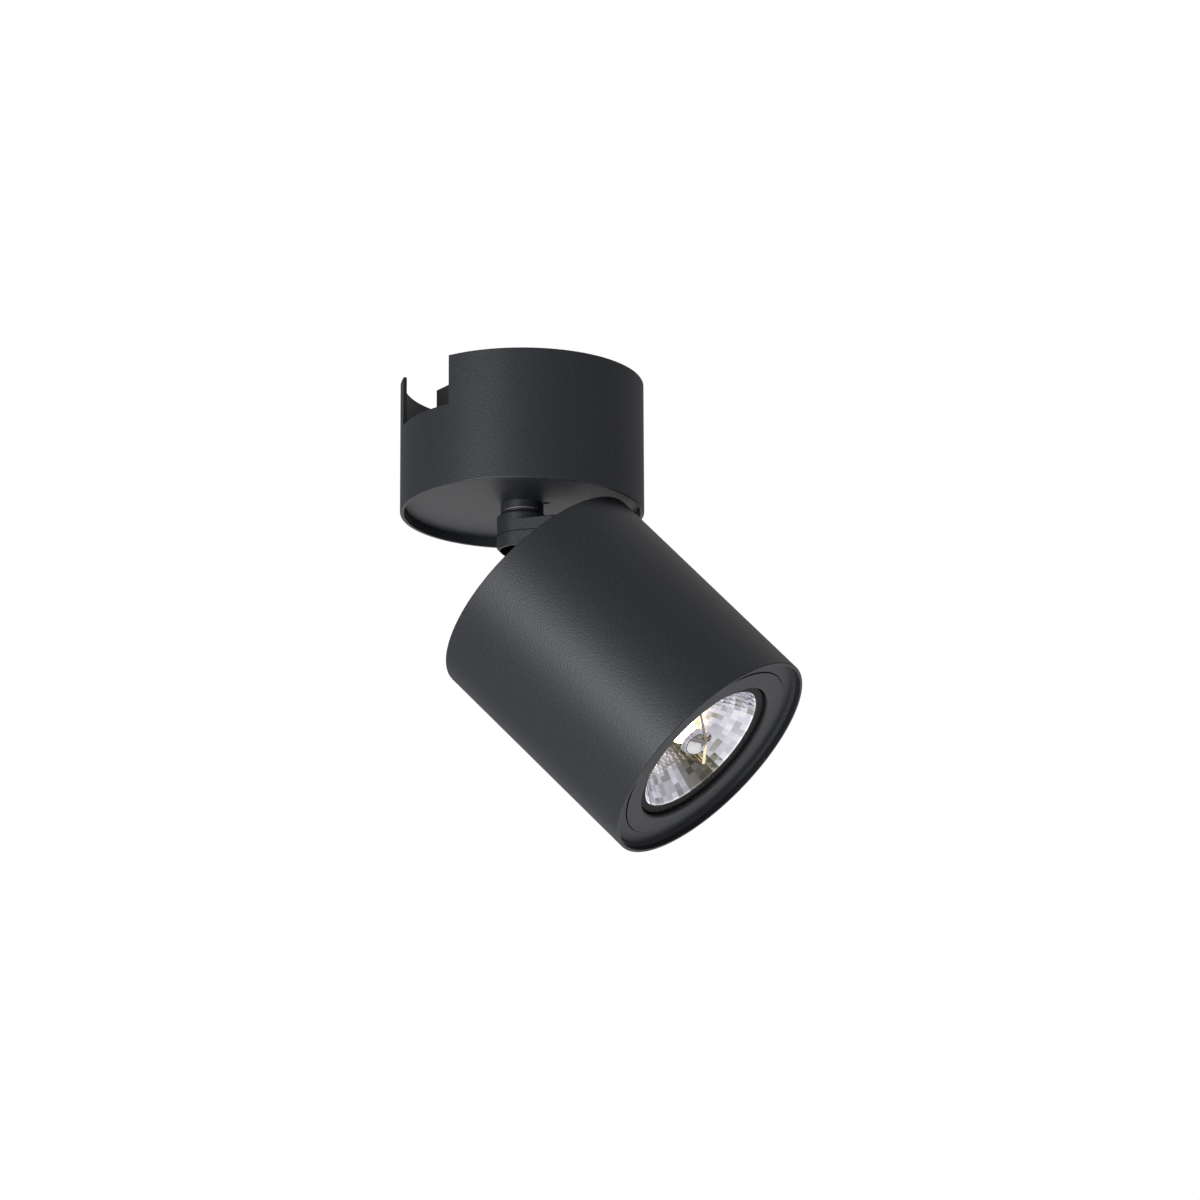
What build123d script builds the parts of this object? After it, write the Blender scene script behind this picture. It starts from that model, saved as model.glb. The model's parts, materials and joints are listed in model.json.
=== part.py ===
from build123d import *
import os
from math import cos, radians, sin, sqrt

os.makedirs("parts", exist_ok=True)

# Track spotlight with a drum canopy that straddles the track. Millimetres, +Z up.
# The track runs along X. The origin is on the pan axis, where the adapter seats on the
# track's underside. The head is drawn at its working aim; the joints read zero there.

# ---- Driving dimensions ----------------------------------------------------------------
track_width = 36.5        # lighting track that the canopy straddles
canopy_radius = 55.0
canopy_height = 60.5
canopy_wall = 1.7
rim_z = 22.4              # canopy rim, just under the ceiling
head_radius = 55.2
head_length = 114.9
head_wall = 1.5
aim_azimuth = -50.0       # plan direction of the beam, from +X
aim_tilt = 43.4           # beam tilt from straight down
pivot_reach = 18.0        # tilt pivot, forward of the pan axis
pivot_z = -57.6
lamp_rim_radius = 35.0    # 70 mm reflector lamp
edge_break = 0.5          # rounding on the tubes' ends

# ---- Places worked out from them -------------------------------------------------------
floor_z = rim_z - canopy_height
plate_recess = 4.0
plate_thick = 2.0
plate_radius = canopy_radius - canopy_wall - 0.3
plate_z = floor_z + plate_recess
deck_z = plate_z + plate_thick

up = Vector(0, 0, 1)
outward = Vector(cos(radians(aim_azimuth)), sin(radians(aim_azimuth)), 0)
tilt_line = up.cross(outward)
aim = outward * sin(radians(aim_tilt)) - up * cos(radians(aim_tilt))
across = aim.cross(tilt_line)
pivot = outward * pivot_reach + up * pivot_z
rear_gap = 5.6            # pivot stands this far behind the head's rear end
rear_offset = 19.6        # and this far above the head's own axis
rear_centre = pivot + aim * rear_gap - across * rear_offset
head_axis = Axis(rear_centre, aim)


def save(piece, name):
    """Label one finished piece and write it to its own file."""
    piece.part.label = name
    export_step(piece.part, f"parts/{name}.step")


def level(z):
    """Horizontal plane in the canopy's frame."""
    return Plane.XY.offset(z)


def arm_level(z):
    """Horizontal plane turned with the knuckle: x runs outward, y along the tilt axis."""
    return Plane(origin=up * z, x_dir=outward, z_dir=up)


def arm_side(origin=Vector(0, 0, 0)):
    """Upright plane through the pan axis and the beam: x runs outward, y is up."""
    return Plane(origin=origin, x_dir=outward, z_dir=tilt_line * -1)


def head_level(depth):
    """Plane square to the beam at a depth from the head's rear end."""
    return Plane(origin=rear_centre + aim * depth, x_dir=tilt_line, z_dir=aim)


def head_half(angle=0.0):
    """Half-section of the head: x is the radius, y the depth from the rear end."""
    radial = across * cos(radians(angle)) - tilt_line * sin(radians(angle))
    return Plane(origin=rear_centre, x_dir=radial, z_dir=radial.cross(aim))


def front(setback):
    """Depth of a point set back from the head's front rim."""
    return head_length - setback


def band(r_in, r_out, start, end):
    """Rectangle in a half-section: a plain ring once it is turned."""
    with Locations(((r_in + r_out) / 2, (start + end) / 2)):
        Rectangle(r_out - r_in, abs(end - start))


def outline(*points):
    """Closed straight-sided outline, drawn where its points say."""
    Polygon(*points, align=None)


def around(count, radius, start=0.0):
    """Evenly spaced places on a circle."""
    turns = [radians(start + 360 * k / count) for k in range(count)]
    return [(radius * cos(turn), radius * sin(turn)) for turn in turns]


def rods(plane, places, radius, length):
    """A group of plain round pins standing on one plane."""
    with BuildPart() as group:
        with BuildSketch(plane):
            with Locations(*places):
                Circle(radius)
        extrude(amount=length)
    return group


def hex_nuts(plane, places, flats, bore, height):
    """A group of hexagon nuts standing on one plane."""
    with BuildPart() as group:
        with BuildSketch(plane):
            with Locations(*places):
                RegularPolygon(flats / sqrt(3), 6)
                Circle(bore, mode=Mode.SUBTRACT)
        extrude(amount=height)
    return group


def cut_holes(plane, places, radius, depth):
    """Round holes through the piece that is being made."""
    with BuildSketch(plane) as holes:
        with Locations(*places):
            Circle(radius)
    extrude(holes.sketch, amount=depth, mode=Mode.SUBTRACT)


def leads(routes, radius, bend):
    """A group of round leads along straight runs joined by arcs."""
    with BuildPart() as group:
        for route in routes:
            with BuildLine():
                run = FilletPolyline(*route, radius=bend)
            with BuildSketch(Plane(origin=run @ 0, z_dir=run % 0)):
                Circle(radius)
            sweep(path=run)
    return group


# ==== Canopy =============================================================================
notch_side = 0.4
notch_below = 0.6
with BuildPart() as canopy_shell:
    with BuildSketch(level(floor_z)):
        Circle(canopy_radius)
        Circle(canopy_radius - canopy_wall, mode=Mode.SUBTRACT)
    extrude(amount=canopy_height)
    outer_edges = canopy_shell.edges().filter_by(GeomType.CIRCLE).sort_by(SortBy.LENGTH)[-2:]
    fillet(outer_edges, edge_break)
    with BuildSketch(level(-notch_below)):
        Rectangle(3 * canopy_radius, track_width + 2 * notch_side)
    extrude(amount=rim_z + 2, mode=Mode.SUBTRACT)
save(canopy_shell, "canopy_shell")

m4 = 2.0
m4_clear = 2.15
m4_flats = 7.0
m4_nut = 3.2
stud_length = 8.0
ledge_radius = 45.5
ledge_thick = 2.0
rim_studs = around(3, 49.0, 30)
foot_reach = 22.0
foot_side = 9.0
foot_studs = [(x, y) for x in (-foot_reach, foot_reach) for y in (-foot_side, foot_side)]
spigot_radius = 5.0
running = 0.05
bore_radius = spigot_radius + 0.02   # parts clamped on the spigot
stop_radius = 11.5
m3 = 1.5
stop_place = (outward.X * stop_radius, outward.Y * stop_radius)

with BuildPart() as ledge_ring:
    with BuildSketch(level(deck_z)):
        Circle(canopy_radius - canopy_wall)
        Circle(ledge_radius, mode=Mode.SUBTRACT)
    extrude(amount=ledge_thick)
    cut_holes(level(deck_z), rim_studs, m4_clear, ledge_thick)
save(ledge_ring, "ledge_ring")

with BuildPart() as base_plate:
    with BuildSketch(level(plate_z)):
        Circle(plate_radius)
    extrude(amount=plate_thick)
    chamfer(base_plate.faces().sort_by(Axis.Z)[0].edges(), 0.3)
    cut_holes(level(plate_z), [(0, 0)], spigot_radius + running, plate_thick)
    cut_holes(level(plate_z), [stop_place], m3 + 0.05, plate_thick)
save(base_plate, "base_plate")

save(rods(level(deck_z), rim_studs + foot_studs, m4, stud_length), "plate_studs")

with BuildPart() as stud_nuts:
    with BuildSketch(level(deck_z + ledge_thick)):
        with Locations(*rim_studs, *foot_studs):
            RegularPolygon(m4_flats / sqrt(3), 6)
            Circle(m4 + running, mode=Mode.SUBTRACT)
    extrude(amount=m4_nut)
save(stud_nuts, "stud_nuts")

# ==== Track adapter ======================================================================
base_length, base_width, base_height, base_wall = 84.0, 33.0, 7.5, 1.8
body_length, body_width, body_height, body_wall = 80.0, 18.6, 15.5, 1.4
shaft_x, shaft_radius, shaft_hole = 25.0, 3.2, 3.26
cam_reach, cam_thick, cam_z = 12.3, 2.0, 4.5
finger_thick = 1.0
finger_levels = (3.6, 7.6, 11.6)
neutral_level = 9.6
swing_gap = 0.4
tower_side = 10.0

with BuildPart() as adapter_base:
    with BuildSketch(level(-base_height)):
        RectangleRounded(base_length, base_width, 3)
    extrude(amount=base_height)
    with BuildSketch(level(-base_height)):
        RectangleRounded(base_length - 2 * base_wall, base_width - 2 * base_wall, 2)
        with Locations((-shaft_x, 0), (shaft_x, 0)):
            Circle(6.5, mode=Mode.SUBTRACT)
        with Locations((0, -tower_side), (0, tower_side)):
            Circle(3.6, mode=Mode.SUBTRACT)
    extrude(amount=base_height - base_wall, mode=Mode.SUBTRACT)
    cut_holes(level(-base_height), [(-shaft_x, 0), (shaft_x, 0)], shaft_hole, base_height)
    cut_holes(level(-base_height), [(0, -tower_side), (0, tower_side)], 1.7, 5.5)
    with BuildSketch(Plane.XZ.offset(base_width / 2 - base_wall - 0.5)):
        with Locations(*[(x, -4.0) for x in (-8, 0, 8)]):
            Circle(1.5)
    extrude(amount=base_wall + 1, mode=Mode.SUBTRACT)
save(adapter_base, "adapter_base")


def adapter_half(side):
    """One moulded half of the upper body, with windows that the cam and fingers swing through."""
    windows = [(-shaft_x, cam_z, cam_thick)]
    windows += [(shaft_x, z, finger_thick) for z in (*finger_levels, neutral_level)]
    with BuildPart() as half:
        with BuildSketch(level(0)):
            with Locations((0, side * body_width / 4)):
                Rectangle(body_length, body_width / 2)
        extrude(amount=body_height)
        with BuildSketch(level(body_wall)):
            with Locations((0, side * (body_width / 2 - body_wall) / 2)):
                Rectangle(body_length - 2 * body_wall, body_width / 2 - body_wall)
        extrude(amount=body_height - 2 * body_wall, mode=Mode.SUBTRACT)
        for x, z, thick in windows:
            with BuildSketch(level(z - swing_gap)):
                with Locations((x, side * body_width / 2)):
                    Rectangle(2 * cam_reach + 1, 4 * body_wall)
            extrude(amount=thick + 2 * swing_gap, mode=Mode.SUBTRACT)
        cut_holes(level(0), [(-shaft_x, 0), (shaft_x, 0)], shaft_hole, body_wall)
    return half


save(adapter_half(1), "adapter_half_left")
save(adapter_half(-1), "adapter_half_right")

with BuildPart() as earth_contacts:
    with BuildSketch(level(2)):
        with Locations((0, -body_width / 2 - 0.4), (0, body_width / 2 + 0.4)):
            Rectangle(7, 0.8)
    extrude(amount=9)
save(earth_contacts, "earth_contacts")


def swing_lever(x):
    """Bent handle under the adapter with the upright shaft that it turns."""
    outer = 1 if x > 0 else -1
    with BuildPart() as lever:
        with BuildSketch(level(-base_height - 2.1)):
            with Locations((x, 0)):
                Circle(6)
            with Locations((x + outer * 11, 0)):
                Rectangle(22, 7)
        extrude(amount=1.9)
        with BuildSketch(level(-base_height - 5.1)):
            with Locations((x + outer * 20.5, 0)):
                Rectangle(3, 7)
        extrude(amount=3)
        with BuildSketch(level(-base_height - 0.2)):
            with Locations((x, 0)):
                Circle(shaft_radius)
        extrude(amount=base_height + body_height - body_wall)
    return lever


save(swing_lever(-shaft_x), "lock_lever")
save(swing_lever(shaft_x), "contact_lever")

with BuildPart() as lock_cam:
    with BuildSketch(level(cam_z)):
        with Locations((-shaft_x, 0)):
            SlotOverall(2 * cam_reach, 8, rotation=90)
            Circle(shaft_radius, mode=Mode.SUBTRACT)
    extrude(amount=cam_thick)
save(lock_cam, "lock_cam")

with BuildPart() as contact_fingers:
    for z, side in [(z, 1) for z in finger_levels] + [(neutral_level, -1)]:
        with BuildSketch(level(z)):
            with Locations((shaft_x, 0)):
                Circle(4.6)
            with Locations((shaft_x, side * cam_reach / 2)):
                Rectangle(5, cam_reach)
            with Locations((shaft_x, 0)):
                Circle(shaft_radius, mode=Mode.SUBTRACT)
        extrude(amount=finger_thick)
save(contact_fingers, "contact_fingers")

# ==== Bracket from the adapter to the base plate =========================================
bracket_width, bracket_half, bracket_thick = 30.0, 16.0, 2.0
bracket_top = -base_height
with BuildPart() as bracket:
    with BuildSketch(Plane.XZ) as hat:
        outline(
            (-bracket_half - 12, deck_z), (-bracket_half + bracket_thick, deck_z),
            (-bracket_half + bracket_thick, bracket_top - bracket_thick),
            (bracket_half - bracket_thick, bracket_top - bracket_thick),
            (bracket_half - bracket_thick, deck_z), (bracket_half + 12, deck_z),
            (bracket_half + 12, deck_z + bracket_thick), (bracket_half, deck_z + bracket_thick),
            (bracket_half, bracket_top), (-bracket_half, bracket_top),
            (-bracket_half, deck_z + bracket_thick), (-bracket_half - 12, deck_z + bracket_thick),
        )
        fillet(hat.vertices().group_by(Axis.Y)[-1], 1.5)
    extrude(amount=bracket_width / 2, both=True)
    cut_holes(level(deck_z), foot_studs, m4_clear, bracket_thick)
    cut_holes(level(bracket_top - bracket_thick), [(0, -tower_side), (0, tower_side)], 1.75,
              bracket_thick)
save(bracket, "adapter_bracket")

with BuildPart() as adapter_screws:
    with BuildSketch(level(bracket_top - bracket_thick - 2.2)):
        with Locations((0, -tower_side), (0, tower_side)):
            Circle(3.4)
    extrude(amount=2.2)
    with BuildSketch(level(bracket_top - bracket_thick)):
        with Locations((0, -tower_side), (0, tower_side)):
            Circle(1.65)
    extrude(amount=bracket_thick + 5)
save(adapter_screws, "adapter_screws")

# ==== Transformer and terminals ==========================================================
pad_thick = 2.0
with BuildPart() as transformer_pad:
    with BuildSketch(level(deck_z)):
        with Locations((0, 30)):
            RectangleRounded(40, 16, 2)
    extrude(amount=pad_thick)
save(transformer_pad, "transformer_pad")

transformer_end = 26.0
with BuildPart() as transformer:
    with BuildSketch(level(deck_z + pad_thick)):
        with Locations((0, 31)):
            RectangleRounded(2 * transformer_end, 21, 2)
    extrude(amount=36)
    fillet(transformer.faces().sort_by(Axis.Z)[-1].edges(), 1)
save(transformer, "transformer")

block_y, block_width, block_height = -30.0, 12.0, 10.0
poles = [(x, block_y) for x in (-8, 0, 8)]
with BuildPart() as terminal_block:
    with BuildSketch(level(deck_z)):
        with Locations((0, block_y)):
            RectangleRounded(30, block_width, 1)
    extrude(amount=block_height)
    cut_holes(level(deck_z + 4), [(x, y - 3.2) for x, y in poles], 1.7, block_height)
save(terminal_block, "terminal_block")

save(rods(level(deck_z + 4), [(x, y - 3.2) for x, y in poles], 1.65, 5), "terminal_screws")

block_top = deck_z + block_height
mains_routes = [
    [(x, y + 2, block_top), (x, y + 2, -4), (x, -base_width / 2 + 0.5, -4)] for x, y in poles
]
save(leads(mains_routes, 1.2, 4.5), "mains_leads")

feed_routes = [
    [(15, block_y, z), (26, block_y, z), (41, -13, z + 3), (41, 10, z + 6), (37, 29, z + 9),
     (transformer_end, 29, z + 9)]
    for z in (-28, -25)
]
save(leads(feed_routes, 1.0, 5.0), "feed_leads")

# ==== Pan bearing and its nut stack ======================================================
collar_height = 3.5
collar_radius = 9.7
with BuildPart() as pan_collar:
    with BuildSketch(level(plate_z - collar_height)):
        Circle(collar_radius)
        Circle(spigot_radius + running, mode=Mode.SUBTRACT)
    extrude(amount=collar_height)
save(pan_collar, "pan_collar")

with BuildPart() as stop_screw:
    with BuildSketch(level(plate_z + 0.6)):
        with Locations(stop_place):
            Circle(m3)
    extrude(amount=4.2)
    with BuildSketch(level(plate_z + 0.6)):
        with Locations(stop_place):
            RegularPolygon(0.87, 6)
    extrude(amount=1.8, mode=Mode.SUBTRACT)
save(stop_screw, "stop_screw")

with BuildPart() as nylon_washer:
    with BuildSketch(level(deck_z)):
        Circle(8.6)
        Circle(spigot_radius + running, mode=Mode.SUBTRACT)
    extrude(amount=1.0)
save(nylon_washer, "nylon_washer")

arm_top = plate_z - collar_height - 0.35
boss_radius = 11.35
arm_bottom = -49.0
fork_top = arm_bottom - 0.05
spigot_top = -22.6
stack = deck_z + 1.05

with BuildPart() as thrust_washer:
    with BuildSketch(level(arm_top)):
        Circle(collar_radius - 0.5)
        Circle(spigot_radius + running, mode=Mode.SUBTRACT)
    extrude(amount=0.3)
save(thrust_washer, "thrust_washer")

with BuildPart() as pan_spigot:
    with BuildSketch(level(arm_bottom)):
        Circle(spigot_radius)
        Circle(3.6, mode=Mode.SUBTRACT)
    extrude(amount=spigot_top - arm_bottom)
save(pan_spigot, "pan_spigot")

with BuildPart() as stop_washer:
    with BuildSketch(arm_level(stack)):
        Circle(8.6)
        with Locations((-9.5, 0)):
            Rectangle(7, 2)
        Circle(bore_radius, mode=Mode.SUBTRACT)
    extrude(amount=1.2)
save(stop_washer, "stop_washer")

with BuildPart() as spring_washer:
    with BuildSketch(level(stack + 1.2)):
        Circle(8.0)
        Circle(bore_radius, mode=Mode.SUBTRACT)
    extrude(amount=0.9)
save(spring_washer, "spring_washer")

save(hex_nuts(level(stack + 2.1), [(0, 0)], 14.0, bore_radius, 5.0), "pan_nut")

# ==== Knuckle ============================================================================
shoulder = 0.9
boss_chamfer = 1.65
arm_rounding = 0.6
bar_top = -43.3
bar_tip = 27.0
screw_places = [(13.0, -6.0), (13.0, 6.0)]
with BuildPart() as knuckle_arm:
    with BuildSketch(arm_level(arm_bottom)):
        with Locations(((bar_tip - boss_radius) / 2, 0)):
            SlotOverall(bar_tip + boss_radius, 2 * boss_radius)
    extrude(amount=bar_top - arm_bottom)
    fillet(knuckle_arm.faces().sort_by(Axis.Z)[-1].edges(), arm_rounding)
    with BuildSketch(arm_side()):
        outline(
            (0, arm_bottom), (boss_radius, arm_bottom),
            (boss_radius, arm_top - shoulder - boss_chamfer),
            (collar_radius, arm_top - shoulder), (collar_radius, arm_top), (0, arm_top),
        )
    revolve(axis=Axis.Z)
    cut_holes(arm_level(arm_bottom), [(0, 0)], bore_radius, arm_top - arm_bottom)
    cut_holes(arm_level(arm_bottom), screw_places, 1.55, 4.2)
save(knuckle_arm, "knuckle_arm")

fork_wall = 1.2
fork_bottom = -55.8
lobe_radius = 5.0
fork_nose = pivot_reach + lobe_radius
with BuildPart() as knuckle_fork:
    with BuildSketch(arm_side()) as cheek:
        with BuildLine():
            Polyline(
                (fork_nose, pivot_z), (fork_nose, fork_top), (-boss_radius, fork_top),
                (-boss_radius, fork_bottom), (9.0, fork_bottom),
                (pivot_reach, pivot_z - lobe_radius),
            )
            RadiusArc((pivot_reach, pivot_z - lobe_radius), (fork_nose, pivot_z), -lobe_radius)
        make_face()
        heel = cheek.vertices().group_by(Axis.X)[0].sort_by(Axis.Y)[0]
        fillet(heel, 2.4)
    extrude(amount=boss_radius, both=True)
    with BuildSketch(arm_level(fork_top)):
        with Locations((20, 0)):
            SlotOverall(2 * (20 + boss_radius), 2 * boss_radius)
    extrude(amount=-30, mode=Mode.INTERSECT)
    chamfer(knuckle_fork.faces().sort_by(Axis.Z)[-1].edges(), 0.3)
    with BuildSketch(arm_level(fork_top - fork_wall)):
        with Locations((20, 0)):
            SlotOverall(2 * (20 + boss_radius - fork_wall), 2 * (boss_radius - fork_wall))
    extrude(amount=-30, mode=Mode.SUBTRACT)
    cut_holes(arm_level(fork_top - fork_wall), screw_places, 1.6, fork_wall)
    cut_holes(arm_level(fork_top - fork_wall), [(0, 0)], 4.0, fork_wall)
    with BuildSketch(arm_side(pivot)):
        Circle(m4 + running)
    extrude(amount=boss_radius + 1, both=True, mode=Mode.SUBTRACT)
save(knuckle_fork, "knuckle_fork")

with BuildPart() as fork_screws:
    with BuildSketch(arm_level(fork_top - fork_wall)):
        with Locations(*screw_places):
            Circle(2.8)
    extrude(amount=-1.3)
    with BuildSketch(arm_level(fork_top - fork_wall)):
        with Locations(*screw_places):
            Circle(1.5)
    extrude(amount=fork_wall + 4)
save(fork_screws, "fork_screws")


def hinge_plane(offset):
    """Plane square to the tilt axis, offset along it from the pivot."""
    return arm_side(pivot - tilt_line * offset)


with BuildPart() as pivot_screw:
    with BuildSketch(hinge_plane(boss_radius)):
        Circle(3.6)
    extrude(amount=1.5)
    with BuildSketch(hinge_plane(boss_radius)):
        Circle(m4)
    extrude(amount=-2 * boss_radius - 2.6)
    with BuildSketch(hinge_plane(boss_radius + 1.5)):
        RegularPolygon(1.4, 6)
    extrude(amount=-1.0, mode=Mode.SUBTRACT)
save(pivot_screw, "pivot_screw")

save(hex_nuts(hinge_plane(-boss_radius - 2.4), [(0, 0)], 7.0, m4 + 0.02, 2.4), "pivot_nut")

# ==== Head: tube, rear cap and hinge lug =================================================
tube_bore = head_radius - head_wall
cap_setback = 4.0
cap_thick = 3.0
cap_radius = tube_bore - 0.2
cap_inner = cap_setback + cap_thick

with BuildPart() as head_tube:
    with BuildSketch(head_half()):
        band(tube_bore, head_radius, 0, head_length)
    revolve(axis=head_axis)
    tube_edges = head_tube.edges().filter_by(GeomType.CIRCLE).sort_by(SortBy.LENGTH)[-2:]
    fillet(tube_edges, edge_break)
save(head_tube, "head_tube")

rod_circle = 41.5
rod_places = around(3, rod_circle, 30)
cap_screw_places = around(3, 51.0, 90)
cable_hole = 4.5
lug_screw_places = [(0, 11.5), (0, 27.5)]
vent_angles = [15 * k for k in range(24) if (15 * k) % 120 != 30]

with BuildPart() as rear_ledge:
    with BuildSketch(head_half()):
        band(48.8, tube_bore, cap_inner, cap_inner + 1.5)
    revolve(axis=head_axis)
    cut_holes(head_level(cap_inner), cap_screw_places, 1.3, 1.5)
save(rear_ledge, "rear_ledge")

with BuildPart() as rear_cap:
    with BuildSketch(head_level(cap_setback)):
        Circle(cap_radius)
        with Locations((0, 0)):
            Circle(cable_hole, mode=Mode.SUBTRACT)
        with Locations(*rod_places, *lug_screw_places):
            Circle(m4 + running, mode=Mode.SUBTRACT)
        with Locations(*cap_screw_places):
            Circle(m3 + 0.1, mode=Mode.SUBTRACT)
        for angle in vent_angles:
            with PolarLocations(40, 1, angle):
                SlotOverall(11, 2.4, mode=Mode.SUBTRACT)
    extrude(amount=cap_thick)
save(rear_cap, "rear_cap")

with BuildPart() as cap_screws:
    with BuildSketch(head_level(cap_setback - 1.4)):
        with Locations(*cap_screw_places):
            Circle(2.4)
    extrude(amount=1.4)
    with BuildSketch(head_level(cap_setback)):
        with Locations(*cap_screw_places):
            Circle(1.25)
    extrude(amount=cap_thick + 3)
save(cap_screws, "cap_screws")

lug_half = 8.0
with BuildPart() as hinge_lug:
    with BuildSketch(head_half()):
        with Locations((rear_offset, (cap_setback - rear_gap) / 2)):
            Rectangle(2 * lobe_radius, cap_setback + rear_gap)
        with Locations((rear_offset, -rear_gap)):
            Circle(lobe_radius)
        with Locations((rear_offset, cap_setback - 1.75)):
            Rectangle(24, 3.5)
    extrude(amount=lug_half, both=True)
    with BuildSketch(head_half()):
        with Locations((rear_offset, -rear_gap)):
            Circle(m4 + running)
    extrude(amount=lug_half + 1, both=True, mode=Mode.SUBTRACT)
    cut_holes(head_level(cap_setback - 3.0), lug_screw_places, m4 + 0.02, 3.0)
save(hinge_lug, "hinge_lug")

with BuildPart() as lug_screws:
    with BuildSketch(head_level(cap_inner)):
        with Locations(*lug_screw_places):
            Circle(3.6)
    extrude(amount=2.2)
    with BuildSketch(head_level(cap_inner)):
        with Locations(*lug_screw_places):
            Circle(m4)
    extrude(amount=-cap_thick - 2.8)
save(lug_screws, "lug_screws")

with BuildPart() as friction_discs:
    for side in (-1, 1):
        with BuildSketch(hinge_plane(side * lug_half)):
            Circle(4.6)
            Circle(m4 + running, mode=Mode.SUBTRACT)
        extrude(amount=side * 2.1)
save(friction_discs, "friction_discs")

with BuildPart() as cable_grommet:
    with BuildSketch(head_half()):
        band(2.9, cable_hole, cap_setback, cap_inner)
        band(2.9, 6.2, cap_setback - 1.5, cap_setback)
        band(2.9, 6.2, cap_inner, cap_inner + 1.5)
    revolve(axis=head_axis)
save(cable_grommet, "cable_grommet")

# ==== Head: chassis on three rods ========================================================
carrier_back = 15.9
carrier_front = 13.9
rod_start = cap_setback + 0.2
save(rods(head_level(rod_start), rod_places, m4, front(carrier_front) - rod_start), "chassis_rods")

socket_plate_depth = front(63.5)
plate_gauge = 1.5
with BuildPart() as rod_nuts:
    for depth in (cap_inner, socket_plate_depth - m4_nut, socket_plate_depth + plate_gauge):
        with BuildSketch(head_level(depth)):
            with Locations(*rod_places):
                RegularPolygon(m4_flats / sqrt(3), 6)
                Circle(m4 + 0.02, mode=Mode.SUBTRACT)
        extrude(amount=m4_nut)
save(rod_nuts, "rod_nuts")

lead_places = [(-1.4, 0), (1.4, 0)]
with BuildPart() as heat_shield:
    with BuildSketch(head_level(26)):
        Circle(50)
        Circle(6, mode=Mode.SUBTRACT)
        with Locations(*rod_places):
            Circle(m4 + running, mode=Mode.SUBTRACT)
    extrude(amount=1.0)
save(heat_shield, "heat_shield")

socket_screw_places = [(-9.6, 0), (9.6, 0)]
with BuildPart() as socket_plate:
    with BuildSketch(head_level(socket_plate_depth)):
        Circle(49)
        Circle(5, mode=Mode.SUBTRACT)
        with Locations(*rod_places):
            Circle(m4 + running, mode=Mode.SUBTRACT)
        with Locations(*socket_screw_places):
            Circle(m3 + 0.1, mode=Mode.SUBTRACT)
        with PolarLocations(30, 6, 30):
            Circle(7, mode=Mode.SUBTRACT)
    extrude(amount=plate_gauge)
save(socket_plate, "socket_plate")

socket_back = socket_plate_depth + plate_gauge
pin_setback = 46.5
with BuildPart() as lamp_socket:
    with BuildSketch(head_half()):
        band(2.6, 13, socket_back, front(52))
        band(7.8, 13, front(52), front(40))
    revolve(axis=head_axis)
    with BuildSketch(head_level(front(pin_setback + 1.5))):
        Rectangle(20.4, 2.8)
    extrude(amount=12, mode=Mode.SUBTRACT)
    cut_holes(head_level(socket_back), socket_screw_places, 1.3, 7)
save(lamp_socket, "lamp_socket")

with BuildPart() as socket_screws:
    with BuildSketch(head_level(socket_plate_depth)):
        with Locations(*socket_screw_places):
            Circle(2.7)
    extrude(amount=-2)
    with BuildSketch(head_level(socket_plate_depth)):
        with Locations(*socket_screw_places):
            Circle(1.28)
    extrude(amount=plate_gauge + 6)
save(socket_screws, "socket_screws")

save(rods(head_level(cap_setback), lead_places, 1.1, front(52) - cap_setback), "lamp_leads")

# ==== Head: carrier, bayonet and front rings =============================================
with BuildPart() as carrier_ring:
    with BuildSketch(head_level(front(carrier_back))):
        Circle(tube_bore - 0.2)
        Circle(37.2, mode=Mode.SUBTRACT)
        with Locations(*rod_places):
            Circle(m4 + 0.02, mode=Mode.SUBTRACT)
    extrude(amount=carrier_back - carrier_front)
save(carrier_ring, "carrier_ring")

face_setback = 3.9
gap_radius = 46.65
with BuildPart() as front_ring:
    with BuildSketch(head_half()):
        outline(
            (gap_radius, front(face_setback)), (52.3, front(face_setback)),
            (53.0, front(2.3)), (53.6, front(2.3)), (53.6, front(carrier_front)),
            (52.4, front(carrier_front)), (52.4, front(5.9)), (gap_radius, front(5.9)),
        )
    revolve(axis=head_axis)
save(front_ring, "front_ring")

lug_turn = 18.0           # twist that frees the retaining ring
lug_arc = 8.0
lug_starts = (0.0, 120.0, 240.0)
lug_front, lug_back = 10.0, 12.0
collar_outer, lug_outer = 45.3, 46.1
cup_bore, cup_outer = 45.7, 49.5
with BuildPart() as bayonet_ring:
    with BuildSketch(head_half()):
        band(cup_bore, cup_outer, front(carrier_front), front(8.0))
    revolve(axis=head_axis)
    for start in lug_starts:
        with BuildSketch(head_half(start - 1)):
            band(cup_bore - 1, lug_outer + 0.4, front(lug_back + 0.3), front(lug_front - 0.3))
        revolve(axis=head_axis, revolution_arc=lug_arc + lug_turn + 2, mode=Mode.SUBTRACT)
        with BuildSketch(head_half(start + lug_turn - 1)):
            band(cup_bore - 1, lug_outer + 0.4, front(lug_back + 0.3), front(7.0))
        revolve(axis=head_axis, revolution_arc=lug_arc + 2, mode=Mode.SUBTRACT)
save(bayonet_ring, "bayonet_ring")

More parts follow.
